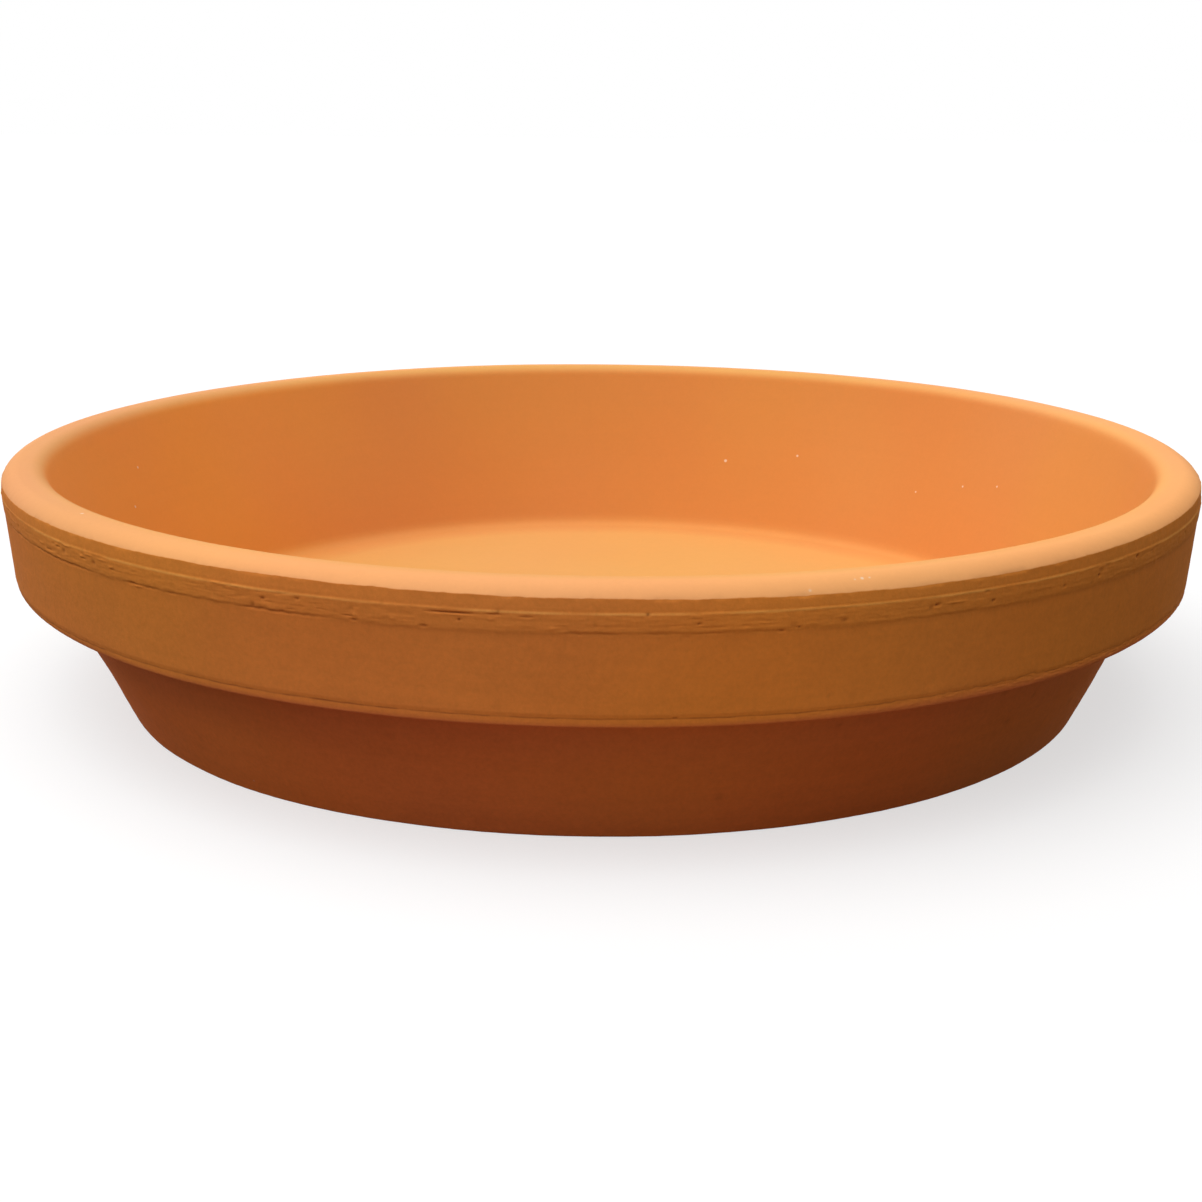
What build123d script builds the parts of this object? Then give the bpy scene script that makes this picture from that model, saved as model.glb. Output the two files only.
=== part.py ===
from build123d import *
from math import cos, radians, sin
import os

# Plant saucer of fired clay, pressed and fired as one piece. Sizes are in millimetres.
# The origin is the middle of the underside. +Z is the saucer's axis, out of its open top.

# Rim
rim_diameter = 210.0  # across the textured band, the widest place
lip_width = 6.8  # from the collar's face to the inner wall, before the edges are rounded
lip_outer_radius = 4.1  # crown of the lip, which ends in a crisp edge on the outside
lip_edge_tilt = 55.0  # degrees that the crown turns over before it meets the crisp edge
lip_inner_radius = 3.2
lip_strip_width = 1.85  # smooth strip between the crisp edge and the band's upper step

# Textured band, a strip round the collar that stands a little proud and has a step at each edge
band_proud = 0.2
band_width = 2.9

# Collar, the thick ring round the top, whose lower edge overhangs the wall
collar_height = 20.0
collar_taper = 1.05  # how far the face draws in from the band down to the score line
score_width = 0.45  # fine groove round the face, just above the collar's rounded lower edge
score_depth = 0.25
collar_edge_width = 1.3  # plain edge under the score line
collar_edge_inset = 0.2  # how far that edge lies inside the face above it
collar_edge_radius = 1.1
collar_overhang = 7.3  # width of the ledge under the collar, with its rounded edge
ledge_root_radius = 0.6

# Lower wall, which flares from the base up to the ledge
lower_wall_height = 22.0
wall_lean = 9.2  # how far the outside draws in from the ledge down to the base
wall_thickness = 6.4  # measured level, where the inner wall meets the floor
base_edge_radius = 0.4

# Floor, flat inside and out
floor_thickness = 7.0
floor_corner_radius = 3.5  # rounding between the floor and the inner wall

# Heights above the surface that the saucer stands on
height = lower_wall_height + collar_height
lip_edge = height - lip_outer_radius * (1 - cos(radians(lip_edge_tilt)))
band_top = lip_edge - lip_strip_width
band_bottom = band_top - band_width
score_bottom = lower_wall_height + collar_edge_width
score_middle = score_bottom + score_width / 2
score_top = score_bottom + score_width

# Radii about the axis
band_radius = rim_diameter / 2
face_radius = band_radius - band_proud
face_foot = face_radius - collar_taper
collar_edge = face_foot - collar_edge_inset
score_radius = collar_edge - score_depth
ledge_root = collar_edge - collar_overhang
base_radius = ledge_root - wall_lean
crown_radius = face_radius - lip_outer_radius * sin(radians(lip_edge_tilt))
lip_inside = face_radius - lip_width
outside_at_floor = base_radius + wall_lean * floor_thickness / lower_wall_height
floor_radius = outside_at_floor - wall_thickness


def rounded_line(corners):
    """A line through (radius, height, rounding) corners. Its two ends have no rounding."""
    points = [(radius, level) for radius, level, rounding in corners]
    roundings = [rounding for radius, level, rounding in corners[1:-1]]
    return FilletPolyline(points, radius=roundings)


def half_section():
    """The closed outline on one side of the axis, from the underside outwards, over the lip and down inside."""
    outside = [
        (0, 0, 0),
        (base_radius, 0, base_edge_radius),
        (ledge_root, lower_wall_height, ledge_root_radius),
        (collar_edge, lower_wall_height, collar_edge_radius),
        (collar_edge, score_bottom, 0),
        (score_radius, score_middle, 0),
        (face_foot, score_top, 0),
        (face_radius, band_bottom, 0),
        (band_radius, band_bottom, 0),
        (band_radius, band_top, 0),
        (face_radius, band_top, 0),
        (face_radius, lip_edge, 0),
    ]
    inside = [
        (crown_radius, height, 0),
        (lip_inside, height, lip_inner_radius),
        (floor_radius, floor_thickness, floor_corner_radius),
        (0, floor_thickness, 0),
    ]
    crown_centre = (crown_radius, height - lip_outer_radius)
    with BuildLine() as section:
        up = rounded_line(outside)
        CenterArc(crown_centre, lip_outer_radius, 90 - lip_edge_tilt, lip_edge_tilt)
        down = rounded_line(inside)
        Line(down @ 1, up @ 0)
    return section.line


def clay_saucer():
    """The whole saucer, its half section turned once round the axis."""
    with BuildPart() as saucer:
        with BuildSketch(Plane.XZ):
            make_face(half_section())
        revolve(axis=Axis.Z)
    return saucer.part


os.makedirs("parts", exist_ok=True)
export_step(clay_saucer(), "parts/clay_saucer.step")
print(f"{rim_diameter:.1f} mm across, {height:.1f} mm high, base {2 * base_radius:.1f} mm across")
print(f"inside {2 * floor_radius:.1f} mm across the floor, {2 * lip_inside:.1f} mm across the mouth")
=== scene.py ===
from math import acos, cos, pi, radians, sin, tan

import bpy
import numpy as np
from mathutils import Matrix, Vector


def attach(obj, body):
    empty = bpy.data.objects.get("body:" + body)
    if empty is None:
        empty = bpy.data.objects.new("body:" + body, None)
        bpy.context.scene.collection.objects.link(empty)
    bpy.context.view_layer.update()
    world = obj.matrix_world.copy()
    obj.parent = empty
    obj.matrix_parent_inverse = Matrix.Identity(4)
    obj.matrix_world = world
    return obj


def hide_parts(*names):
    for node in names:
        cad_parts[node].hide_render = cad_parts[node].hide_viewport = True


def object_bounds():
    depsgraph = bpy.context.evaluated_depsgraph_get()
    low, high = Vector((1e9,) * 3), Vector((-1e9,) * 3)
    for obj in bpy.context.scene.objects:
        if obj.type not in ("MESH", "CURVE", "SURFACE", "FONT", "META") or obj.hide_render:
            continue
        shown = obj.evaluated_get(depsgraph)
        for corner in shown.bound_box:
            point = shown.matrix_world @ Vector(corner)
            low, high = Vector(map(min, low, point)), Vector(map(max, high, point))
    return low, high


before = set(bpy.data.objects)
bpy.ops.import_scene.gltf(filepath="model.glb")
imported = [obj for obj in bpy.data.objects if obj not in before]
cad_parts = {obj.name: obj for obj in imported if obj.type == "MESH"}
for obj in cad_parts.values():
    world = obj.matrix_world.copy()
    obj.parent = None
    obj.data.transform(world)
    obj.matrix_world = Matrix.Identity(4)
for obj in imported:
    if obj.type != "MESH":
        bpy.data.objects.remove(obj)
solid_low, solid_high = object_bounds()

# A pressed and fired clay saucer on a pale floor. Blender works in metres, and MM turns the
# sizes of the clay, which are written in millimetres, into metres. A bearing is an angle round
# the saucer, from its front (-Y) towards its right (+X), in radians. Only the lists of marks and
# specks give it in degrees.
MM = 0.001
HAIR = 0.001  # in millimetres, too small to show

# Sizes of the clay
BAND_PROUD = 0.2  # of the solid's band, which takes in the highest crumbs of the real one
RIM_RADIUS = solid_high.x / MM
HEIGHT = (solid_high.z - solid_low.z) / MM
FACE_RADIUS = RIM_RADIUS - BAND_PROUD
LIP_WIDTH = 6.8
LIP_SAG = 0.15  # the warped lip lies this far below the solid's on average
CROWN_RADIUS = 3.8
CROWN_TILT = radians(55)  # the lip's crown turns over by this much before its crisp edge
CROWN_DIP = 0.2  # the crisp edge rises and dips by this much
CROWN_DIPS = 4  # and this often round the saucer
CROWN_DROP = 0.14  # and lies this far below its true level
LIP_INNER_ROUNDING = 3.2
STRIP_WIDTH = 1.94  # of the smooth strip between the lip's crisp edge and the band
STRIP_LEAN = 0.08  # how far the strip draws in from the band up to the lip
BAND_WIDTH = 2.9
BAND_TAPER = 0.2  # the part of the collar's taper that lies in the band
COLLAR_TAPER = 1.05
BEAD_INSET = 0.17  # how far the foot of the bead under the score line lies inside the face
COLLAR_EDGE_INSET = 0.3
COLLAR_EDGE_ROUNDING = 0.4
LEDGE_ROOT_INSET = 7.5  # how far the ledge's root lies inside the face
LEDGE_ROOT_ROUNDING = 0.6
LEDGE_RISE = 0.2  # from the ledge's root out to the collar's edge
WALL_LEAN = 9.2
WALL_BULGE = 0.3
WALL_THICKNESS = 6.4
BASE_ROUNDING = 0.4
FLOOR_ROUNDING = 3.5
FLAT_RELIEF = 0.4  # share of the clay's relief that its flat base and floor keep

# Levels, from the floor inside up to the lip
FLOOR_LEVEL = 7.0
LEDGE_LEVEL = 22.0
FOOT_TOP = 22.65  # about here the colour turns redder and darker, partly the foot's own clay and partly painted shade under the ledge
BEAD_FOOT = 22.9
SCORE_LEVEL = 23.5
SCORE_TOP = SCORE_LEVEL + 0.75  # the score line wanders below this level
LIP_TOP = HEIGHT - LIP_SAG
LIP_EDGE = LIP_TOP - CROWN_RADIUS * (1 - cos(CROWN_TILT))
BAND_TOP = LIP_EDGE - STRIP_WIDTH
BAND_BOTTOM = BAND_TOP - BAND_WIDTH
CRUMBS_TOP = BAND_TOP + 0.6  # the rough crest of the band stays below this level

# Radii
FACE_TOP = FACE_RADIUS - BAND_TAPER
FACE_FOOT = FACE_RADIUS - COLLAR_TAPER
COLLAR_EDGE = FACE_FOOT - COLLAR_EDGE_INSET
LEDGE_ROOT = FACE_FOOT - LEDGE_ROOT_INSET
BASE_RADIUS = LEDGE_ROOT - WALL_LEAN
STRIP_TOP = FACE_RADIUS - STRIP_LEAN
CROWN_MIDDLE = STRIP_TOP - CROWN_RADIUS * sin(CROWN_TILT)
LIP_INSIDE = FACE_RADIUS - LIP_WIDTH
FLOOR_RADIUS = BASE_RADIUS + WALL_LEAN * FLOOR_LEVEL / LEDGE_LEVEL - WALL_THICKNESS

# The mesh is rows of columns. The columns double or halve from row to row, so that the cells
# stay about as wide as they are tall.
FEWEST_COLUMNS = 9
MOST_DOUBLINGS = 8
CELL_SHAPE = 0.8  # least width of a cell as a share of its height
CROWN_ROWS = 14
FEWEST_ARC_ROWS = 4

NOISE_ROWS = 256  # rows of noise cells along the section, after which the noise repeats


def unit(vector):
    return vector / np.linalg.norm(vector)


def soft_step(values, middle, width):
    """0 below the middle and 1 above it, with a smooth change over the width."""
    t = np.clip((values - middle) / width + 0.5, 0, 1)
    return t * t * (3 - 2 * t)


def hump(values, middle, width):
    """1 in the middle, falling smoothly to 0 on both sides."""
    return np.exp(-(((values - middle) / width) ** 2))


def sided(sizes, share):
    """A size, and what is added to it as the share goes from 0 to 1."""
    size, added = sizes
    return size + added * share


def clay_noise(seed, cells, cell_height, bearings, along):
    """Smooth noise from -1 to 1 that joins up after a full turn. It has this many cells round the
    saucer, each this tall, and is read at a bearing and a distance along the section."""
    lattice = np.random.default_rng(seed).uniform(-1, 1, (NOISE_ROWS, cells))
    across, up = bearings / (2 * pi) * cells, along / cell_height
    left, below = np.floor(across).astype(int), np.floor(up).astype(int)
    x, y = across - left, up - below
    x, y = x * x * (3 - 2 * x), y * y * (3 - 2 * y)
    left, right = left % cells, (left + 1) % cells
    below, above = below % NOISE_ROWS, (below + 1) % NOISE_ROWS
    low = lattice[below, left] * (1 - x) + lattice[below, right] * x
    high = lattice[above, left] * (1 - x) + lattice[above, right] * x
    return low * (1 - y) + high * y


def layered_noise(bearings, along, *layers):
    """The sum of noises, each with its seed, its cells round the saucer, their height and its rise."""
    total = 0
    for seed, cells, cell_height, rise in layers:
        total = total + rise * clay_noise(seed, cells, cell_height, bearings, along)
    return total


def wander(seed, cells, bearings):
    """Noise round the saucer alone, for a line that isn't quite true."""
    return clay_noise(seed, cells, 1, bearings, np.zeros_like(bearings))


def wandering_line(level, bearings, *layers):
    """A level with noises round the saucer added, each with its seed, its cells and its rise."""
    for seed, cells, rise in layers:
        level = level + rise * wander(seed, cells, bearings)
    return level


def rounded_line(corners):
    """Rows of radius, level and row height along straight runs between corners, which are given as
    (radius, level, rounding, row height). An arc of the rounding's radius cuts each corner."""
    points = []
    for index, (radius, level, rounding, row_height) in enumerate(corners):
        corner = np.array([radius, level])
        if not rounding:
            points.append((*corner, row_height))
            continue
        back = unit(np.array(corners[index - 1][:2]) - corner)
        on = unit(np.array(corners[index + 1][:2]) - corner)
        half_angle = acos(back @ on) / 2
        centre = corner + unit(back + on) * rounding / sin(half_angle)
        start = corner + back * rounding / tan(half_angle) - centre
        turn = pi - 2 * half_angle
        if start[0] * on[1] < start[1] * on[0]:
            turn = -turn
        steps = max(FEWEST_ARC_ROWS, round(abs(turn) * rounding / row_height))
        for angle in np.linspace(0, turn, steps + 1):
            c, s = cos(angle), sin(angle)
            spot = centre + (c * start[0] - s * start[1], s * start[0] + c * start[1])
            points.append((*spot, row_height))
    return np.array(points)


def between(start, end, share):
    """A point on the straight run between two points."""
    return tuple(a + (b - a) * share for a, b in zip(start, end))


def half_section():
    """The outline on one side of the axis, from the middle of the underside outwards, up the
    outside, over the lip and down inside to the middle of the floor."""
    base, ledge_root = (BASE_RADIUS, 0), (LEDGE_ROOT, LEDGE_LEVEL)
    collar_edge = (COLLAR_EDGE, LEDGE_LEVEL + LEDGE_RISE)
    bead_foot = (FACE_FOOT - BEAD_INSET, BEAD_FOOT)
    face_foot, face_top = (FACE_FOOT, SCORE_TOP), (FACE_TOP, BAND_BOTTOM)
    band_top = (FACE_RADIUS, BAND_TOP)
    lip_inside, floor = (LIP_INSIDE, LIP_TOP), (FLOOR_RADIUS, FLOOR_LEVEL)
    crown = [
        (CROWN_MIDDLE + CROWN_RADIUS * sin(tilt), LIP_TOP - CROWN_RADIUS * (1 - cos(tilt)))
        for tilt in np.linspace(CROWN_TILT, 0, CROWN_ROWS)
    ]
    # Each corner's radius and level, its rounding, and the height of the rows after it, which are
    # finest where the marks are
    underside_and_wall = [
        (0, 0, 0, 1.8),
        (*base, BASE_ROUNDING, 0.3),
        (*between(base, ledge_root, 0.08), 0, 0.6),
        (*ledge_root, LEDGE_ROOT_ROUNDING, 0.3),
        (*between(ledge_root, collar_edge, 0.2), 0, 0.7),
        (*between(ledge_root, collar_edge, 0.85), 0, 0.25),
    ]
    collar = [
        (*collar_edge, COLLAR_EDGE_ROUNDING, 0.12),
        (*bead_foot, 0, 0.08),
        (*between(bead_foot, face_foot, 0.25), 0, 0.055),
        (*face_foot, 0, 0.12),
        (*between(face_foot, face_top, 0.04), 0, 0.5),
        (*between(face_foot, face_top, 0.94), 0, 0.12),
        (*face_top, 0, 0.12),
        (*band_top, 0, 0.12),
        (FACE_RADIUS - 0.1 * STRIP_LEAN, CRUMBS_TOP, 0, 0.25),
        (*between(band_top, crown[0], 0.85), 0, 0.08),
    ]
    lip = [(*crown[0], 0, 0.12), (*crown[1], 0, 0.2)]
    lip += [(*point, 0, 0.3) for point in crown[2:]]
    inside = [
        (*lip_inside, LIP_INNER_ROUNDING, 0.4),
        (*between(lip_inside, floor, 0.12), 0, 1.2),
        (*floor, FLOOR_ROUNDING, 0.8),
        (*between(floor, (0, FLOOR_LEVEL), 0.05), 0, 1.8),
        (0, FLOOR_LEVEL, 0, 1.8),
    ]
    return rounded_line(underside_and_wall + collar + lip + inside)


def section_rows():
    """The section cut into rows: radius, level, outward direction, distance along it and columns."""
    section, rows = half_section(), []
    for start, end in zip(section[:-1], section[1:]):
        count = max(1, round(np.hypot(*(end - start)[:2]) / start[2]))
        rows += [start + (end - start) * step / count for step in range(count)]
    radius, level = np.array(rows + [section[-1]]).T[:2]
    along = np.append(0, np.cumsum(np.hypot(np.diff(radius), np.diff(level))))
    run, rise = np.gradient(radius, along), np.gradient(level, along)
    outward = np.stack([rise, -run]) / np.hypot(run, rise)
    most = 2 * pi * np.maximum(radius, HAIR) / (CELL_SHAPE * np.gradient(along) * FEWEST_COLUMNS)
    doublings = np.clip(np.floor(np.log2(most)), 0, MOST_DOUBLINGS).astype(int)
    # No row has more than twice the columns of the row before it or after it
    for order in (range(1, len(along)), range(len(along) - 2, -1, -1)):
        for row in order:
            doublings[row] = min(doublings[row], doublings[row - order.step] + 1)
    return radius, level, outward, along, FEWEST_COLUMNS * 2**doublings


def lathe_faces(columns):
    """Faces between neighbouring rows of columns, and a fan to the middle at each end. Where one
    row has twice the columns of the other, each of its pairs of cells meets one cell in three
    triangles. The two middles are the last two points."""
    starts = np.append(0, np.cumsum(columns))
    quads, triangles = [], []
    for row in range(len(columns) - 1):
        here, there = columns[row], columns[row + 1]
        fewer = min(here, there)
        j = np.arange(fewer)
        if here == there:
            a, b = starts[row] + j, starts[row] + (j + 1) % here
            quads.append(np.stack([a, b, b + here, a + here], 1))
        elif here > there:
            a, m, b = (starts[row] + (2 * j + k) % here for k in range(3))
            c, d = (starts[row + 1] + (j + k) % there for k in range(2))
            triangles += [np.stack(t, 1) for t in ((a, m, c), (m, d, c), (m, b, d))]
        else:
            a, b = (starts[row] + (j + k) % here for k in range(2))
            c, m, d = (starts[row + 1] + (2 * j + k) % there for k in range(3))
            triangles += [np.stack(t, 1) for t in ((a, m, c), (a, b, m), (b, d, m))]
    first, last = np.arange(columns[0]), starts[-2] + np.arange(columns[-1])
    centre_below, centre_above = starts[-1], starts[-1] + 1
    triangles.append(np.stack([np.full_like(first, centre_below), np.roll(first, -1), first], 1))
    triangles.append(np.stack([last, np.roll(last, -1), np.full_like(last, centre_above)], 1))
    return [face for group in quads + triangles for face in group.tolist()]


# The clay's warp: how often each wave goes round the saucer, and its sine and cosine heights
WARP_WAVES = ((1, 0, -0.05), (2, -0.11, -0.1), (3, -0.10, -0.035))
WARP_SPREAD = -0.2  # how far the lip is spread on one diagonal and drawn in on the other


def warp(bearings, share):
    """How far the warped clay rises and spreads, in millimetres, where the share is 1 at the lip."""
    rise = 0
    for waves, sine, cosine in WARP_WAVES:
        rise = rise + sine * np.sin(waves * bearings) + cosine * np.cos(waves * bearings)
    spread = WARP_SPREAD * np.sin(2 * bearings)
    return share * rise, share * spread


# The uneven foot of the wall
LEFT_FOOT_DRAWN_IN = 0.75
LEFT_START, LEFT_FADE = 0.87, 0.2  # sines of the bearings at which the left side starts
FOOT_SPREAD = 0.4  # how far it is spread, left of the front
FOOT_SPREAD_BEARING = radians(322)
FOOT_SPREAD_REACH = radians(14)
FOOT_LEVEL, FOOT_FADE = 11, 8  # the level at which the wall is half true again
UNDERSIDE_RING = 12  # width of the ring of the underside that moves with the foot

# The lift of the collar's lower edge at the sides
EDGE_LIFT = 0.5
EDGE_FADE = 1.2
LEDGE_TRUE_WIDTH, LEDGE_FADE = 2, 3  # the lift is half there at this distance from the ledge's root
SIDE_START, SIDE_FADE = 0.75, 0.4  # sines of the bearings at which the sides start


def foot_shift(bearings, radius, level, outward):
    """How far the foot of the outer wall, and the underside inside it, are moved outwards."""
    aside = (bearings - FOOT_SPREAD_BEARING + pi) % (2 * pi) - pi
    shift = FOOT_SPREAD * hump(aside, 0, FOOT_SPREAD_REACH)
    shift = shift - LEFT_FOOT_DRAWN_IN * soft_step(-np.sin(bearings), LEFT_START, LEFT_FADE)
    wall = (outward > 0) * (1 - soft_step(level, FOOT_LEVEL, FOOT_FADE))
    underside = (level < HAIR) * np.clip((radius - BASE_RADIUS) / UNDERSIDE_RING + 1, 0, 1)
    return shift * np.where(level < HAIR, underside, wall)


def edge_lift(bearings, radius, level, outward):
    """How far the collar's lower edge is lifted, which fades in across the ledge."""
    edge = (outward > 0) * soft_step(radius, LEDGE_ROOT + LEDGE_TRUE_WIDTH, LEDGE_FADE)
    edge = edge * (1 - soft_step(level, BEAD_FOOT, EDGE_FADE))
    return EDGE_LIFT * edge * soft_step(np.abs(np.sin(bearings)), SIDE_START, SIDE_FADE)


def lip_wave(bearings, radius, level, outward):
    """The rise and dip of the lip's crisp, rough outer edge, which fade out above and below it."""
    above = (level > LIP_EDGE) & (radius > CROWN_MIDDLE)
    share = np.where(above, (LIP_TOP - level) / (LIP_TOP - LIP_EDGE), 0)
    below = (level <= LIP_EDGE) & (level > BAND_TOP) & (outward > 0)
    share = np.where(below, (level - BAND_TOP) / (LIP_EDGE - BAND_TOP), share)
    rough = wandering_line(0, bearings, (41, 130, 0.045), (42, 420, 0.04), (45, 1100, 0.03))
    return (rough - CROWN_DROP - CROWN_DIP * np.sin(CROWN_DIPS * bearings)) * share


# The torn band. A pair is a size on the left, and what is added to it on the right.
HALF_SOFT = radians(10)  # the groove is softest a quarter turn to the right of this bearing
LOWER_STEP_WIDTH = (0.42, 0.7)
UPPER_STEP_WIDTH = 0.45
BAND_RISE = 0.06
BAND_SWELL = (0.025, 0.03)  # how far the band's middle swells
SWELL_REACH = 1.6
SHELF_RISE = 0.012  # the upper part of the band stands a little higher still
SHELF_WIDTH = 1.6
SHELF_STEP_WIDTH = 0.3
TEAR_DEPTH = 0.1
CREST_RISE = 0.02
CREST_DROP = 0.12  # the crest lies this far below the band's upper edge
CREST_WIDTH = 0.14
STRIP_DRAG_RISE = 0.007
STRIP_MARGIN = 0.3  # the drag lines on the strip end this far below the lip's edge
STRIP_FADE = 0.4
GROOVE_DEPTH = 0.12
GROOVE_WIDTH = (0.17, 0.16)
GROOVE_SHADE = (0.1, 0.1)
GROOVE_SHADE_DROP = 0.15
GROOVE_SHADE_WIDTH = 0.45
DEEPEST_GROOVE_SHADE = 0.4
PIT_DEPTH = 0.3  # at which a pit's floor is in full painted shade


def band_surface(bearings, level, ridge, soft):
    """The rise of the torn band itself, with drag lines and tears across it."""
    middle = (BAND_TOP + BAND_BOTTOM) / 2
    rise = BAND_RISE * (1 + 0.3 * wander(15, 46, bearings))
    rise += sided(BAND_SWELL, soft) * (1 - ((level - middle) / SWELL_REACH) ** 2)
    rise += SHELF_RISE * soft_step(level, ridge - SHELF_WIDTH, SHELF_STEP_WIDTH)
    drag_layers = ((16, 70, 0.42, 0.013), (17, 260, 0.26, 0.014), (22, 1100, 0.24, 0.012))
    drags = layered_noise(bearings, level, *drag_layers)
    tears = np.maximum(clay_noise(18, 420, 0.3, bearings, level) - 0.3, 0)
    tears *= np.maximum(wander(19, 40, bearings) + 0.3, 0)
    return rise + drags - TEAR_DEPTH * tears


def torn_groove(bearings, level, groove, soft):
    """The depth of the ragged groove below the band, and the painted shade in it."""
    torn = np.clip(wander(21, 60, bearings) + 0.7, 0, 1) * np.clip(1.1 - 1.3 * soft, 0.1, 1)
    torn *= 1 + 0.6 * wander(23, 420, bearings)
    depth = GROOVE_DEPTH * torn * hump(level, groove, sided(GROOVE_WIDTH, soft))
    shade = hump(level, groove - GROOVE_SHADE_DROP, GROOVE_SHADE_WIDTH)
    deep_shade = np.clip(depth / PIT_DEPTH, 0, DEEPEST_GROOVE_SHADE)
    return depth, np.maximum(deep_shade, sided(GROOVE_SHADE, soft) * shade)


def torn_band(bearings, level):
    """The rise of the band that was torn as the clay was pressed, with a broken crest along its
    upper edge, faint drag lines on the strip above it and a ragged groove below. With it comes the
    painted shade in the groove."""
    soft = 0.5 + 0.5 * np.sin(bearings - HALF_SOFT)
    ridge = wandering_line(BAND_TOP, bearings, (11, 24, 0.07), (12, 190, 0.03))
    groove_layers = ((13, 30, 0.08), (14, 420, 0.06), (24, 1000, 0.06))
    groove = wandering_line(BAND_BOTTOM, bearings, *groove_layers)
    band = soft_step(level, groove, sided(LOWER_STEP_WIDTH, soft))
    band *= 1 - soft_step(level, ridge, UPPER_STEP_WIDTH)
    crest = CREST_RISE * (1 + wander(20, 330, bearings))
    crest *= hump(level, ridge - CREST_DROP, CREST_WIDTH)
    strip = soft_step(level, ridge, STRIP_FADE)
    strip *= 1 - soft_step(level, LIP_EDGE - STRIP_MARGIN, STRIP_FADE)
    drags = strip * layered_noise(bearings, level, (25, 30, 0.34, STRIP_DRAG_RISE))
    depth, shade = torn_groove(bearings, level, groove, soft)
    return band * band_surface(bearings, level, ridge, soft) + crest + drags - depth, shade


# The score line and the bead under it, which is thin on the left and swollen on the right
SWOLLEN_BEARING = radians(70)
SWOLLEN_START, SWOLLEN_FADE = 0.66, 0.5  # cosines of the angles from there
SCORE_LIFT = 0.45  # how much higher the line lies over the swollen bead
SCORE_DEPTH = 0.008
SCORE_WIDTH = 0.12
SCORE_SHADE = 0.5
SCORE_SHADE_RISE, SCORE_SHADE_WIDTH = 0.05, 0.13
BEAD_SUNK = 0.06  # how far the bead lies inside the face above it
BEAD_STEP_RISE, BEAD_STEP_WIDTH = 0.35, 0.75
BEAD_START, BEAD_FADE = BEAD_FOOT - 0.3, 0.7  # the bead rises out of the collar's edge here
BEAD_RISE = 0.008
SWOLLEN_RISE = 0.06
SWOLLEN_ROUGHNESS = 0.045


def swelling(bearings):
    """How far the bead under the score line is swollen: 0 on the left and 1 on the right."""
    return soft_step(np.cos(bearings - SWOLLEN_BEARING), SWOLLEN_START, SWOLLEN_FADE)


def scored_edge(bearings, level):
    """The score line above the collar's lower edge, and the edge's bead, which on the right is a
    ragged roll of clay that squeezed out of the mould. With it comes the painted shade in the line."""
    swell = swelling(bearings)
    line = wandering_line(SCORE_LEVEL + SCORE_LIFT * swell, bearings, (31, 20, 0.05))
    line = line + swell * wandering_line(0, bearings, (32, 700, 0.17), (33, 240, 0.14))
    line = wandering_line(line, bearings, (34, 500, 0.04))
    sunk = BEAD_SUNK * (1 - soft_step(level, line + BEAD_STEP_RISE, BEAD_STEP_WIDTH))
    cut = SCORE_DEPTH * (1 + wander(35, 260, bearings)) * hump(level, line, SCORE_WIDTH)
    below = np.clip((line - level) / (line - BEAD_FOOT), 0, 1)
    swollen = SWOLLEN_RISE * swell * (1 + 0.4 * wander(36, 420, bearings))
    rise = (BEAD_RISE + swollen) * below
    lumps = layered_noise(bearings, level, (37, 900, 0.24, SWOLLEN_ROUGHNESS))
    rise += lumps * swell * (level < line)
    rise += BEAD_RISE * wander(38, 330, bearings) * below
    rise *= soft_step(level, BEAD_START, BEAD_FADE)
    shade = SCORE_SHADE * (1 - 0.4 * swell) * (1 + 0.5 * wander(39, 420, bearings))
    shade *= hump(level, line + SCORE_SHADE_RISE, SCORE_SHADE_WIDTH)
    return rise - cut - sunk, shade


# Nicks in the lip's crisp edge, as layers with a seed, a number of cells round it and a depth
NICK_LAYERS = ((43, 260, 0.08), (44, 900, 0.06))
NICK_REACH = 0.24


def lip_nicks(bearings, level):
    """Small nicks along the crisp outer edge of the lip."""
    nick = sum(
        depth * np.maximum(wander(seed, cells, bearings), 0)
        for seed, cells, depth in NICK_LAYERS
    )
    return -nick * hump(level, LIP_EDGE, NICK_REACH)


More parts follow.
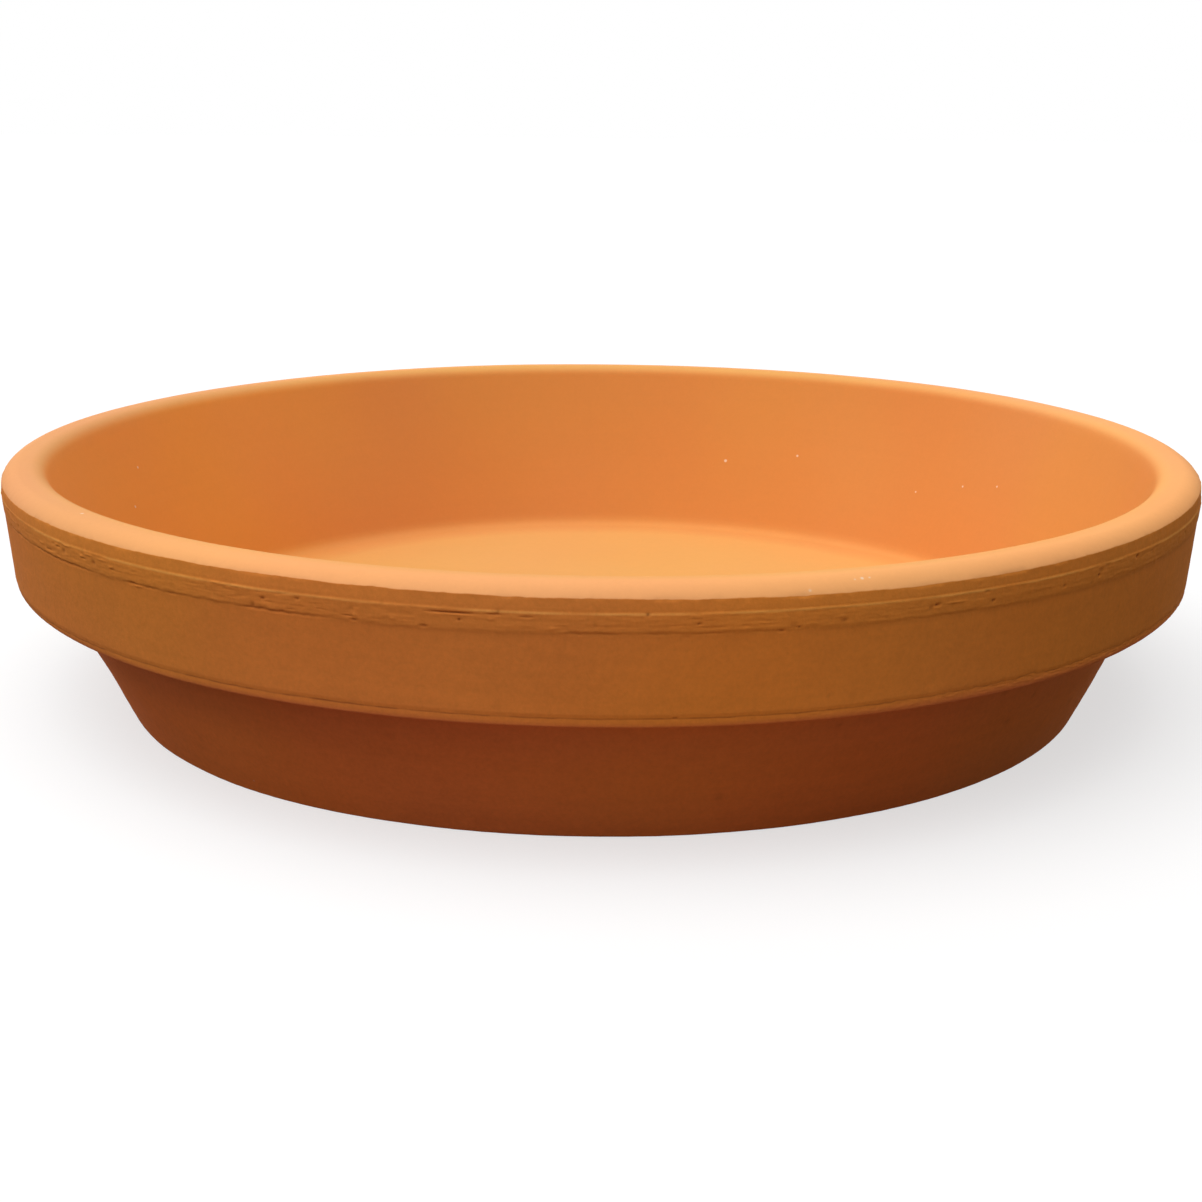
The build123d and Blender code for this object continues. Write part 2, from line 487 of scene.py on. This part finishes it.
# The marks that the photograph shows on the outside. Each has its bearing in degrees, its level,
# half its length, half its height, and its rise.
OUTER_MARKS = [
    (-10.6, 37.7, 3.0, 0.12, -0.22),  # the long gouge, and the burr under it
    (-10.5, 37.45, 3.2, 0.12, 0.05),
    (-7.5, 37.75, 0.9, 0.12, -0.14),
    (-5.2, 37.6, 0.8, 0.12, -0.12),
    (-10.0, 36.8, 0.22, 0.2, -0.24),
    (-17.8, 36.25, 0.26, 0.36, 0.18),  # a torn nick with its crumb
    (-18.3, 36.1, 0.9, 0.12, -0.12),
    (-17.9, 35.6, 0.4, 0.16, -0.18),
    (-14.9, 36.3, 0.3, 0.2, 0.12),
    (-49.8, 37.55, 0.24, 0.14, 0.15),  # crumbs and torn lines on the left
    (-49.5, 37.3, 0.4, 0.09, -0.14),
    (-45.6, 37.25, 0.28, 0.17, 0.16),
    (-45.2, 36.97, 0.5, 0.1, -0.15),
    (-48.0, 37.95, 1.4, 0.11, 0.09),
    (-44.4, 37.75, 1.2, 0.11, 0.1),
    (-42.5, 37.6, 1.0, 0.11, 0.08),
    (-41.4, 36.9, 0.26, 0.15, 0.14),
    (-41.2, 36.67, 0.4, 0.09, -0.12),
    (-53.0, 36.7, 0.9, 0.16, 0.1),
    (-51.5, 36.2, 0.9, 0.14, -0.12),
    (-38.8, 35.45, 0.7, 0.2, -0.18),  # a notch with a flap
    (-38.1, 35.15, 0.8, 0.14, 0.1),
    (-29.6, 38.2, 0.5, 0.12, 0.09),  # ridge fragments
    (-28.7, 38.15, 0.3, 0.12, 0.07),
    (-27.8, 38.15, 0.6, 0.12, 0.09),
    (-25.4, 37.0, 0.26, 0.19, -0.24),  # pits, from left to right, one with a burr
    (-22.4, 37.6, 0.28, 0.16, -0.18),
    (3.3, 38.1, 0.22, 0.2, -0.22),
    (6.9, 36.8, 0.28, 0.17, -0.2),
    (12.9, 35.4, 0.25, 0.18, -0.18),
    (14.2, 35.8, 0.22, 0.16, -0.18),
    (25.3, 37.05, 0.36, 0.18, -0.26),
    (27.0, 37.1, 1.7, 0.11, 0.08),
    (30.5, 36.5, 0.26, 0.2, -0.24),
    (42.7, 36.7, 0.26, 0.2, -0.26),
    (48.6, 37.6, 0.3, 0.24, -0.3),
    (5.4, 23.6, 0.3, 0.18, -0.16),  # a nick in the score line
    (48.6, 37.6, 0.15, 0.15, -0.2),  # the deep middle of the last pit
]
LEAST_MARKED_RADIUS = 50  # of any place with marks

# Pale specks of grit, each with its bearing in degrees, its radius from the axis, its level and
# its size
PALE_SPECKS = [
    (161.4, 89.8, 21.9, 0.45),  # on the inner wall
    (150.6, 90.8, 24.3, 0.35),
    (-103.5, 93.8, 31.7, 0.35),
    (-99.0, 91.2, 25.5, 0.35),
    (130.2, 89.2, 20.6, 0.3),
    (122.4, 90.5, 23.7, 0.3),
    (116.2, 91.2, 25.4, 0.3),
    (15.0, 104.5, 40.45, 0.5),  # on the lip
    (14.6, 104.6, 40.3, 0.4),
    (-49.2, 101.2, 41.8, 0.45),
    (18.7, 103.4, 41.2, 0.3),  # a short streak on it
    (19.3, 103.3, 41.25, 0.4),
    (19.9, 103.3, 41.25, 0.3),
    (-35.9, 88.3, 2.5, 0.4),  # on the lower wall
]


def scattered_marks(seed, count, lowest, highest, largest, deepest):
    """Small pits and crumbs at random all round, as rows like those of the marks above."""
    rng = np.random.default_rng(seed)
    return [
        (
            rng.uniform(-180, 180),
            rng.uniform(lowest, highest),
            largest * rng.uniform(0.5, 1),
            largest * rng.uniform(0.4, 0.8),
            deepest * rng.uniform(-1, 0.6),
        )
        for _ in range(count)
    ]


def marked(marks, bearings, radius, level):
    """The rise of the marks at each point of the clay."""
    rise = np.zeros_like(bearings)
    for bearing, middle, half_length, half_height, height in marks:
        apart = (bearings - radians(bearing) + pi) % (2 * pi) - pi
        near = np.abs(apart) < 2 * half_length / LEAST_MARKED_RADIUS
        near &= np.abs(level - middle) < 3 * half_height
        x = apart[near] * radius[near] / half_length
        y = (level[near] - middle) / half_height
        rise[near] += height * np.exp(-(x**4) - y * y)
    return rise


def clay_relief(bearings, radius, level, outward, along):
    """How far the clay's surface lies outside its true section, in millimetres, and how much shade
    is painted in its pits, grooves and score line, from 0 to 1."""
    relief = layered_noise(bearings, along, (51, 22, 14, 0.05), (52, 520, 1.1, 0.012))
    outside = outward > 0
    collar = outside & (level > LEDGE_LEVEL) & (radius > LEDGE_ROOT)
    lip = outside & (level > LIP_EDGE - 1)
    wall = outside & (radius < LEDGE_ROOT)
    band, groove_shade = torn_band(bearings[collar], level[collar])
    edge, line_shade = scored_edge(bearings[collar], level[collar])
    relief[collar] += band
    relief[collar] += edge
    relief[lip] += lip_nicks(bearings[lip], level[lip])
    relief[wall] += layered_noise(bearings[wall], level[wall], (53, 60, 0.9, 0.02))
    outer_marks = OUTER_MARKS + scattered_marks(
        seed=61, count=130, lowest=BAND_BOTTOM, highest=BAND_TOP, largest=0.5, deepest=0.16
    )
    outer_marks += scattered_marks(
        seed=62, count=70, lowest=SCORE_LEVEL, highest=LIP_EDGE, largest=0.45, deepest=0.08
    )
    wall_marks = scattered_marks(
        seed=63, count=60, lowest=1, highest=LEDGE_LEVEL - 1, largest=0.8, deepest=0.1
    )
    marks = np.zeros_like(relief)
    marks[collar] = marked(outer_marks, bearings[collar], radius[collar], level[collar])
    marks[wall] = marked(wall_marks, bearings[wall], radius[wall], level[wall])
    # Painted shade: the colour is darkened in the pits' floors, in the groove below the band and in
    # the score line
    painted_shade = np.clip(-marks / PIT_DEPTH, 0, 1)
    painted_shade[collar] = np.maximum(painted_shade[collar], np.maximum(groove_shade, line_shade))
    return relief + marks, painted_shade


def reshaped(bearings, r, z, out_r, out_z, relief):
    """The radius and level of each point once the clay is warped and rough. They stay inside the
    solid's box, which leaves more room towards its corners."""
    wall_share = np.clip(z / LEDGE_LEVEL, 0, 1)
    bulge = WALL_BULGE * 4 * wall_share * (1 - wall_share) * (out_r > 0)
    bulge += foot_shift(bearings, r, z, out_r)
    rise, spread = warp(bearings, z / HEIGHT)
    rise = rise + edge_lift(bearings, r, z, out_r)
    rise = rise + lip_wave(bearings, r, z, out_r)
    reach = np.maximum(np.abs(np.sin(bearings)), np.abs(np.cos(bearings)))
    most = (RIM_RADIUS - HAIR) / reach
    radius = np.minimum(r + bulge + relief * out_r + spread * r / RIM_RADIUS, most)
    return radius, np.clip(z + relief * out_z + rise, 0, HEIGHT)


# Where the clay's colours lie
LIP_DUST_AND_PAINTED_LIGHT_DEPTH = 6  # how far below its top the lip can be dusty and painted paler as lit
DUST_AND_PAINTED_LIGHT_RING, DUST_AND_PAINTED_LIGHT_RING_FADE = 7, 12  # distance from the wall at which the floor's dust and painted light are half full, with painted shade beside the wall
LIP_CLAY_INSET = (0.8, 2.4)  # how far the lip's pale clay reaches in, and more at the sides
LIP_CLAY_FADE = 4
FOOT_LIFT = 0.6  # how much higher the redder colour, with its painted shade, ends over the swollen bead
FOOT_CLAY_FADE = (1.1, 0.8)
BAND_CLAY_DROP, BAND_CLAY_FADE = 0.1, 0.5
# width of the painted highlight along the band's crest
CREST_HIGHLIGHT_WIDTH = 0.16


def dust_and_painted_light_share(radius, level, facing_up):
    """How dusty the clay is, with painted light where it faces up: most on the lip and the floor, and
    less in a ring beside the wall, as painted shade.
    """
    lip = soft_step(facing_up, 0.7, 0.6) * (level > LIP_TOP - LIP_DUST_AND_PAINTED_LIGHT_DEPTH)
    # Beside the wall the floor is less pale, as painted shade
    ring = soft_step(FLOOR_RADIUS - radius, DUST_AND_PAINTED_LIGHT_RING, DUST_AND_PAINTED_LIGHT_RING_FADE)
    floor = soft_step(facing_up, 0.75, 0.45) * (0.5 + 0.5 * ring)
    return np.maximum(lip, floor * (level < FLOOR_LEVEL + FLOOR_ROUNDING))


def clay_zones(bearings, radius, level, outward, facing_up, smooth, painted_shade):
    """Where the material's finishes and its painted light and shade lie. Each has its share from 0
    to 1 at every point, and then at the middle of the underside and at the middle of the floor."""
    swell = swelling(bearings)
    outside = outward > 0
    inset, more_inset = LIP_CLAY_INSET
    lip_start = CROWN_MIDDLE - inset - more_inset * np.sin(bearings) ** 2
    lip = smooth * soft_step(radius, lip_start, LIP_CLAY_FADE)
    foot = 1 - soft_step(level, FOOT_TOP + FOOT_LIFT * swell, sided(FOOT_CLAY_FADE, swell))
    foot = np.where(outside, foot, level < HAIR)
    band = soft_step(level, BAND_BOTTOM - BAND_CLAY_DROP, BAND_CLAY_FADE)
    band *= (level < LIP_EDGE) & outside
    # Painted highlight along the band's crest
    crest = hump(level, BAND_TOP - CREST_DROP, CREST_HIGHLIGHT_WIDTH) * outside
    return {
        "painted_shade": (painted_shade, 0, 0),
        "dust_and_painted_light": (dust_and_painted_light_share(radius, level, facing_up), 0, 1),
        "foot": (foot, 0, 0),
        "lip": (lip, 0, 0),
        "band": (band, 0, 0),
        "crest": (crest, 0, 0),
        "smooth": (smooth, 0, 1),
    }


def make_saucer():
    """The saucer as one closed mesh, turned from its section and then warped, torn and pitted."""
    radius, level, outward, along, columns = section_rows()
    inner = slice(1, -1)  # the first and last rows are the middles, one point each
    columns = columns[inner]
    r, z, out_r, out_z, s = (
        np.repeat(row[inner], columns) for row in (radius, level, *outward, along)
    )
    bearings = np.concatenate([2 * pi * np.arange(count) / count for count in columns])
    smooth = (s > along[np.argmax(level)]) | (z > LIP_EDGE)
    relief, painted_shade = clay_relief(bearings, r, z, out_r, s)
    zones = clay_zones(bearings, r, z, out_r, out_z, smooth, painted_shade)
    flat = (z < HAIR) | ((r < FLOOR_RADIUS) & (z < FLOOR_LEVEL + HAIR))
    relief[flat] *= FLAT_RELIEF
    r, z = reshaped(bearings, r, z, out_r, out_z, relief)
    points = np.stack([r * np.sin(bearings), -r * np.cos(bearings), z], 1)
    middles = [(0, 0, level[0]), (0, 0, level[-1])]
    mesh = bpy.data.meshes.new("clay_saucer_surface")
    mesh.from_pydata(np.vstack([points, middles]) * MM, [], lathe_faces(columns))
    mesh.shade_smooth()
    for name, (shares, underside, floor) in zones.items():
        values = np.append(shares, (underside, floor)).astype(np.float32)
        mesh.attributes.new(name, "FLOAT", "POINT").data.foreach_set("value", values)
    saucer = bpy.data.objects.new("terracotta_saucer", mesh)
    bpy.context.scene.collection.objects.link(saucer)
    return saucer


class Nodes:
    """Adds nodes to a tree. Each input is given a plain value or another node's output."""

    def __init__(self, tree):
        tree.nodes.clear()
        self.tree = tree

    def add(self, kind, inputs=None, **settings):
        node = self.tree.nodes.new("ShaderNode" + kind)
        for name, value in settings.items():
            setattr(node, name, value)
        for name, value in (inputs or {}).items():
            if isinstance(value, bpy.types.NodeSocket):
                self.tree.links.new(value, node.inputs[name])
            else:
                node.inputs[name].default_value = value
        return node

    def attribute(self, name):
        return self.add("Attribute", attribute_name=name).outputs["Fac"]

    def math(self, operation, *values):
        node = self.add("Math", dict(enumerate(values)), operation=operation)
        return node.outputs[0]

    def spread(self, value, low, high, to_low=0.0, to_high=1.0, smooth=True):
        """The value moved from one range to another, and kept inside it."""
        inputs = {"Value": value, 1: low, 2: high, 3: to_low, 4: to_high}
        kind = "SMOOTHSTEP" if smooth else "LINEAR"
        return self.add("MapRange", inputs, interpolation_type=kind).outputs[0]

    def mix(self, share, first, second):
        inputs = {0: share, 6: first, 7: second}
        return self.add("Mix", inputs, data_type="RGBA").outputs[2]

    def uneven(self, *weighted_noises):
        """The sum of some noises, each less its middle and times its weight."""
        total = -0.5 * sum(weight for noise, weight in weighted_noises)
        for noise, weight in weighted_noises:
            total = self.math("MULTIPLY_ADD", noise, weight, total)
        return total

    def noise(self, vector, scale, detail=3.0, roughness=0.5):
        """Noise from 0 to 1, of this many cells to the metre."""
        inputs = {"Vector": vector, "Scale": scale, "Detail": detail, "Roughness": roughness}
        return self.add("TexNoise", inputs).outputs["Fac"]


# Colours, as linear red, green and blue
WHITE = (1, 1, 1, 1)
CLAY = (0.745, 0.234, 0.042, 1)
# Painted highlight: the band's crest is paler, as where its upper edge catches the light
CREST_HIGHLIGHT = (0.82, 0.34, 0.075, 1)
INNER_CLAY = (0.755, 0.29, 0.077, 1)
# Painted light: the left of the inside is painted lighter, and its clay is more saturated
LEFT_INNER_CLAY_AND_PAINTED_LIGHT = (0.94, 0.365, 0.078, 1)
# Dust with painted light: where the clay faces up it is paler, as where the light falls
DUSTY_CLAY_AND_PAINTED_LIGHT = (0.85, 0.41, 0.125, 1)
# Painted shade: the floor beside the wall is pinker and less pale
RING_CLAY_AND_PAINTED_SHADE = (0.86, 0.375, 0.118, 1)
LIP_CLAY = (0.945, 0.43, 0.162, 1)
LEFT_LIP_CLAY = (0.84, 0.385, 0.158, 1)
# Painted shade: below the ledge the foot is redder and darker, partly its own clay
FOOT_CLAY_AND_PAINTED_SHADE = (0.71, 0.187, 0.053, 1)
# Painted light: towards the base the foot turns more orange and a little lighter, partly its own clay
LOW_FOOT_CLAY_AND_PAINTED_LIGHT = (0.735, 0.188, 0.042, 1)
BAND_CLAY = (0.765, 0.25, 0.044, 1)
# Painted shade, darkening the pits, the groove below the band and the score line
PAINTED_SHADE = (0.24, 0.055, 0.014, 1)
DARK_GRAIN = (0.30, 0.09, 0.03, 1)
PALE_GRIT = (0.95, 0.75, 0.55, 1)
FLOOR_GREY = (0.38, 0.38, 0.38, 1)
NEAR_TABLE = (0.35, 0.25, 0.185, 1)
FAR_TABLE = (0.07, 0.047, 0.037, 1)

# The clay's finish
STREAK_FLATNESS = 26  # how many times wider than tall the streaks are
SMOOTH_CLAY_ROUGHNESS = 0.22  # grain and mottling of the wiped clay, as a share of the rough
FOOT_RAGGEDNESS = 12 * MM
LOW_FOOT = (27 * MM, 15 * MM)  # heights between which the foot changes to its lower colour, more orange and a little lighter, partly painted light from the floor
INSIDE_LEFT = (-40 * MM, -90 * MM)  # from here to here the inside changes to its left colour, more saturated and painted lighter as painted light
LIP_LEFT = (-45 * MM, -90 * MM)
DARK_GRAIN_CELLS = 260  # to the metre
DARK_GRAIN_LEAST = 0.965  # cells whose random number is above this have a dark grain
DARK_GRAIN_STRENGTH = 0.5
PAINTED_SHADE_STRENGTH = 0.8
PALE_GRIT_STRENGTH = 0.8
BUMP_DEPTH = 0.03 * MM


def pale_specks(nodes, place):
    """1 at the pale specks of grit and 0 between them."""
    specks = 0.0
    for bearing, radius, level, size in PALE_SPECKS:
        x, y = radius * sin(radians(bearing)), -radius * cos(radians(bearing))
        spot = Vector((x, y, level)) * MM
        away = nodes.add("VectorMath", {0: place, 1: spot}, operation="DISTANCE").outputs["Value"]
        specks = nodes.math("MAXIMUM", specks, nodes.spread(away, size * MM, 0.4 * size * MM))
    return specks


def zoned_colour(nodes, place, clouds, patches):
    """The clay's colour: dusty where it faces up, with painted light there, palest on the lip and
    redder at the foot, partly as painted shade.
    """
    aside, _, height = nodes.add("SeparateXYZ", {0: place}).outputs
    low = nodes.math("MULTIPLY_ADD", clouds, FOOT_RAGGEDNESS, height)
    # The foot's redder clay with painted shade under the ledge and painted light towards the base
    foot_clay_painted_light_and_shade = nodes.mix(nodes.spread(low, *LOW_FOOT), FOOT_CLAY_AND_PAINTED_SHADE, LOW_FOOT_CLAY_AND_PAINTED_LIGHT)
    # Painted light: the inside is painted lighter towards the left
    inner_clay_and_painted_light = nodes.mix(nodes.spread(aside, *INSIDE_LEFT), INNER_CLAY, LEFT_INNER_CLAY_AND_PAINTED_LIGHT)
    lip_clay = nodes.mix(nodes.spread(aside, *LIP_LEFT), LIP_CLAY, LEFT_LIP_CLAY)
    # Dust and painted light where the clay faces up
    ragged = nodes.math("ADD", nodes.attribute("dust_and_painted_light"), nodes.uneven((patches, 0.2)))
    dust_and_painted_light = nodes.spread(ragged, 0.1, 0.9, smooth=False)
    # Painted highlight along the band's crest, broken by the patches
    crest = nodes.math("MULTIPLY", nodes.attribute("crest"), nodes.spread(patches, 0.35, 0.6))

    colour = nodes.mix(nodes.attribute("band"), CLAY, BAND_CLAY)
    colour = nodes.mix(crest, colour, CREST_HIGHLIGHT)
    colour = nodes.mix(nodes.attribute("foot"), colour, foot_clay_painted_light_and_shade)
    colour = nodes.mix(nodes.attribute("smooth"), colour, inner_clay_and_painted_light)
    colour = nodes.mix(dust_and_painted_light, colour, nodes.mix(dust_and_painted_light, RING_CLAY_AND_PAINTED_SHADE, DUSTY_CLAY_AND_PAINTED_LIGHT))
    return nodes.mix(nodes.attribute("lip"), colour, lip_clay)


def grains_painted_shade_and_grit(nodes, place, colour):
    """The colour with a few dark grains in the rough clay, painted shade in its pits and lines, and
    pale grit.
    """
    cells = nodes.add("TexVoronoi", {"Vector": place, "Scale": DARK_GRAIN_CELLS})
    chance = nodes.add("SeparateColor", {0: cells.outputs["Color"]}).outputs[0]
    rough = nodes.spread(nodes.attribute("smooth"), 0, 1, DARK_GRAIN_STRENGTH, 0)
    dark = nodes.spread(cells.outputs["Distance"], 0.1, 0.05)
    dark = nodes.math("MULTIPLY", dark, nodes.math("GREATER_THAN", chance, DARK_GRAIN_LEAST))
    colour = nodes.mix(nodes.math("MULTIPLY", dark, rough), colour, DARK_GRAIN)
    # Painted shade in the pits, the groove and the score line
    painted_shade = nodes.math("MULTIPLY", nodes.attribute("painted_shade"), PAINTED_SHADE_STRENGTH)
    colour = nodes.mix(painted_shade, colour, PAINTED_SHADE)
    grit = nodes.math("MULTIPLY", pale_specks(nodes, place), PALE_GRIT_STRENGTH)
    return nodes.mix(grit, colour, PALE_GRIT)


def terracotta():
    """Unglazed clay. The lip and the inside were wiped smooth, and the outside has a fine grain,
    faint streaks and pits, with painted shade in the pits, the groove and the score line."""
    material = bpy.data.materials.new("terracotta_clay")
    material.use_nodes = True
    nodes = Nodes(material.node_tree)
    place = nodes.add("TexCoord").outputs["Object"]
    flattened = nodes.add("Mapping", {"Vector": place, "Scale": (1, 1, STREAK_FLATNESS)})

    clouds = nodes.noise(place, 26)
    patches = nodes.noise(place, 95)
    coarse_grain = nodes.noise(place, 520, roughness=0.6)
    grain = nodes.noise(place, 1500, roughness=0.65)
    streaks = nodes.noise(flattened.outputs[0], 30, roughness=0.6)
    roughness_of_clay = nodes.spread(nodes.attribute("smooth"), 0, 1, 1, SMOOTH_CLAY_ROUGHNESS)

    uneven = nodes.uneven(
        (clouds, 0.2), (patches, 0.12), (grain, 0.24), (coarse_grain, 0.14), (streaks, 0.1)
    )
    mottling = {
        "Hue": nodes.spread(nodes.noise(place, 20, detail=1), 0.3, 0.7, 0.4978, 0.5022),
        "Saturation": nodes.spread(nodes.noise(place, 15, detail=1), 0.3, 0.7, 0.99, 1.01),
        "Value": nodes.math("MULTIPLY_ADD", uneven, roughness_of_clay, 1.0),
        "Color": grains_painted_shade_and_grit(nodes, place, zoned_colour(nodes, place, clouds, patches)),
    }
    bump = {
        "Strength": roughness_of_clay,
        "Distance": BUMP_DEPTH,
        "Height": nodes.math("MULTIPLY_ADD", coarse_grain, 1.4, grain),
    }
    finish = {
        "Base Color": nodes.add("HueSaturation", mottling).outputs[0],
        "Roughness": nodes.spread(patches, 0.3, 0.7, 0.84, 0.94),
        "Specular IOR Level": 0.1,
        "Normal": nodes.add("Bump", bump).outputs[0],
    }
    surface = nodes.add("BsdfPrincipled", finish)
    nodes.add("OutputMaterial", {"Surface": surface.outputs[0]})
    return material


# Light. The world and the sun together light a level surface at about 1, at which a colour
# renders about as it is written.
SKY_LEVEL = 0.53
LOW_SKY_LEAN = (0.23, 0.5, 0)  # near the horizon the sky is brighter on the right and behind,
HIGH_SKY_LEAN = (-1.36, -0.85, 0)  # and overhead it is brighter on the left and in front
SUN_LEVEL = 0.54
SUN_SIDE = (-0.2, -0.23, 1)
SUN_WIDTH = radians(70)
FLOOR_SIDE = 14.0
FLOOR_DROP = 0.02 * MM
FLOOR_GLOW = 0.64  # with the light on its grey, this makes the open floor white
TABLE_FADE = (10 * MM, 110 * MM)  # from here to here, to either side, the table darkens


def seen_directly(nodes):
    """1 for rays that look at something, straight, reflected or through glass, and 0 for light."""
    path = nodes.add("LightPath").outputs
    seen = nodes.math("MAXIMUM", path["Is Camera Ray"], path["Is Glossy Ray"])
    return nodes.math("MAXIMUM", seen, path["Is Transmission Ray"])


def light_studio():
    """A soft, uneven sky that looks white, and a broad lamp overhead."""
    world = bpy.data.worlds.new("soft_sky")
    world.use_nodes = True
    bpy.context.scene.world = world
    nodes = Nodes(world.node_tree)
    direction = nodes.add("TexCoord").outputs["Generated"]
    height = nodes.add("SeparateXYZ", {0: direction}).outputs["Z"]
    low, high = (
        nodes.add("VectorMath", {0: direction, 1: lean}, operation="DOT_PRODUCT").outputs["Value"]
        for lean in (LOW_SKY_LEAN, HIGH_SKY_LEAN)
    )
    level = nodes.math("MULTIPLY_ADD", high, height, nodes.math("ADD", low, SKY_LEVEL))
    light = nodes.add("Background", {"Color": WHITE, "Strength": level})
    white = nodes.add("Background", {"Color": WHITE, "Strength": 1.0})
    mixed = nodes.add(
        "MixShader", {0: seen_directly(nodes), 1: light.outputs[0], 2: white.outputs[0]}
    )
    nodes.add("OutputWorld", {"Surface": mixed.outputs[0]})

    lamp = bpy.data.lights.new("broad_lamp", "SUN")
    tilt = Vector(SUN_SIDE).normalized()
    lamp.energy = pi * SUN_LEVEL / tilt.z
    lamp.angle = SUN_WIDTH
    sun = bpy.data.objects.new("broad_lamp", lamp)
    sun.rotation_euler = tilt.to_track_quat("Z", "Y").to_euler()
    bpy.context.scene.collection.objects.link(sun)


def floor_material():
    """White where it is seen, apart from the saucer's soft shadow. For the light that it throws
    back it is darker and warmer, as a table is, and darkest at the sides."""
    material = bpy.data.materials.new("pale_floor")
    material.use_nodes = True
    nodes = Nodes(material.node_tree)
    pale = nodes.add("BsdfDiffuse", {"Color": FLOOR_GREY})
    glow = nodes.add("Emission", {"Color": WHITE, "Strength": FLOOR_GLOW})
    seen = nodes.add("AddShader", {0: pale.outputs[0], 1: glow.outputs[0]})
    place = nodes.add("TexCoord").outputs["Object"]
    aside = nodes.math("ABSOLUTE", nodes.add("SeparateXYZ", {0: place}).outputs["X"])
    table = nodes.mix(nodes.spread(aside, *TABLE_FADE), NEAR_TABLE, FAR_TABLE)
    bounce = nodes.add("BsdfDiffuse", {"Color": table})
    mixed = nodes.add(
        "MixShader", {0: seen_directly(nodes), 1: bounce.outputs[0], 2: seen.outputs[0]}
    )
    nodes.add("OutputMaterial", {"Surface": mixed.outputs[0]})
    return material


def lay_floor():
    """A wide, pale floor under the saucer."""
    half = FLOOR_SIDE / 2
    corners = [(x * half, y * half, -FLOOR_DROP) for x, y in ((-1, -1), (1, -1), (1, 1), (-1, 1))]
    mesh = bpy.data.meshes.new("floor")
    mesh.from_pydata(corners, [], [(0, 1, 2, 3)])
    mesh.materials.append(floor_material())
    floor = bpy.data.objects.new("floor", mesh)
    bpy.context.scene.collection.objects.link(floor)


# The photograph's camera, from a fit to the saucer's outline and edges. Its angles are in radians.
IMAGE_SIDE = 1202
FOCAL_LENGTH = 1790.6  # in pixels of the photograph
SENSOR_WIDTH = 36.0
CAMERA_DISTANCE = 0.3292  # from the middle of the mouth
MOUTH_RISE = 0.05  # the fit's mouth lies this far above the top of the lip, in millimetres
CAMERA_ELEVATION = 0.17599
CAMERA_PITCH = 0.26616
CAMERA_ROLL = 0.00734
NEAREST_SEEN, FARTHEST_SEEN = 0.01, 30.0


def place_camera():
    """The photograph's viewpoint: a little above the rim, in front, looking slightly down."""
    camera = bpy.data.cameras.new("camera")
    camera.sensor_width = SENSOR_WIDTH
    camera.lens = camera.sensor_width * FOCAL_LENGTH / IMAGE_SIDE
    camera.clip_start, camera.clip_end = NEAREST_SEEN, FARTHEST_SEEN
    stand = Vector((0, -cos(CAMERA_ELEVATION), sin(CAMERA_ELEVATION))) * CAMERA_DISTANCE
    stand.z += (LIP_TOP + MOUTH_RISE) * MM
    ahead = Vector((0, cos(CAMERA_PITCH), -sin(CAMERA_PITCH)))
    right = Vector((1, 0, 0))
    turn = Matrix([right, right.cross(ahead), -ahead]).transposed().to_4x4()
    roll = Matrix.Rotation(CAMERA_ROLL, 4, "Z")
    viewer = bpy.data.objects.new("camera", camera)
    viewer.matrix_world = Matrix.Translation(stand) @ turn @ roll
    bpy.context.scene.collection.objects.link(viewer)
    bpy.context.scene.camera = viewer


place_camera()
light_studio()
lay_floor()
saucer = make_saucer()
saucer.data.materials.append(terracotta())
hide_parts("clay_saucer")
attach(saucer, "root")
bpy.context.scene.view_settings.view_transform = "Standard"
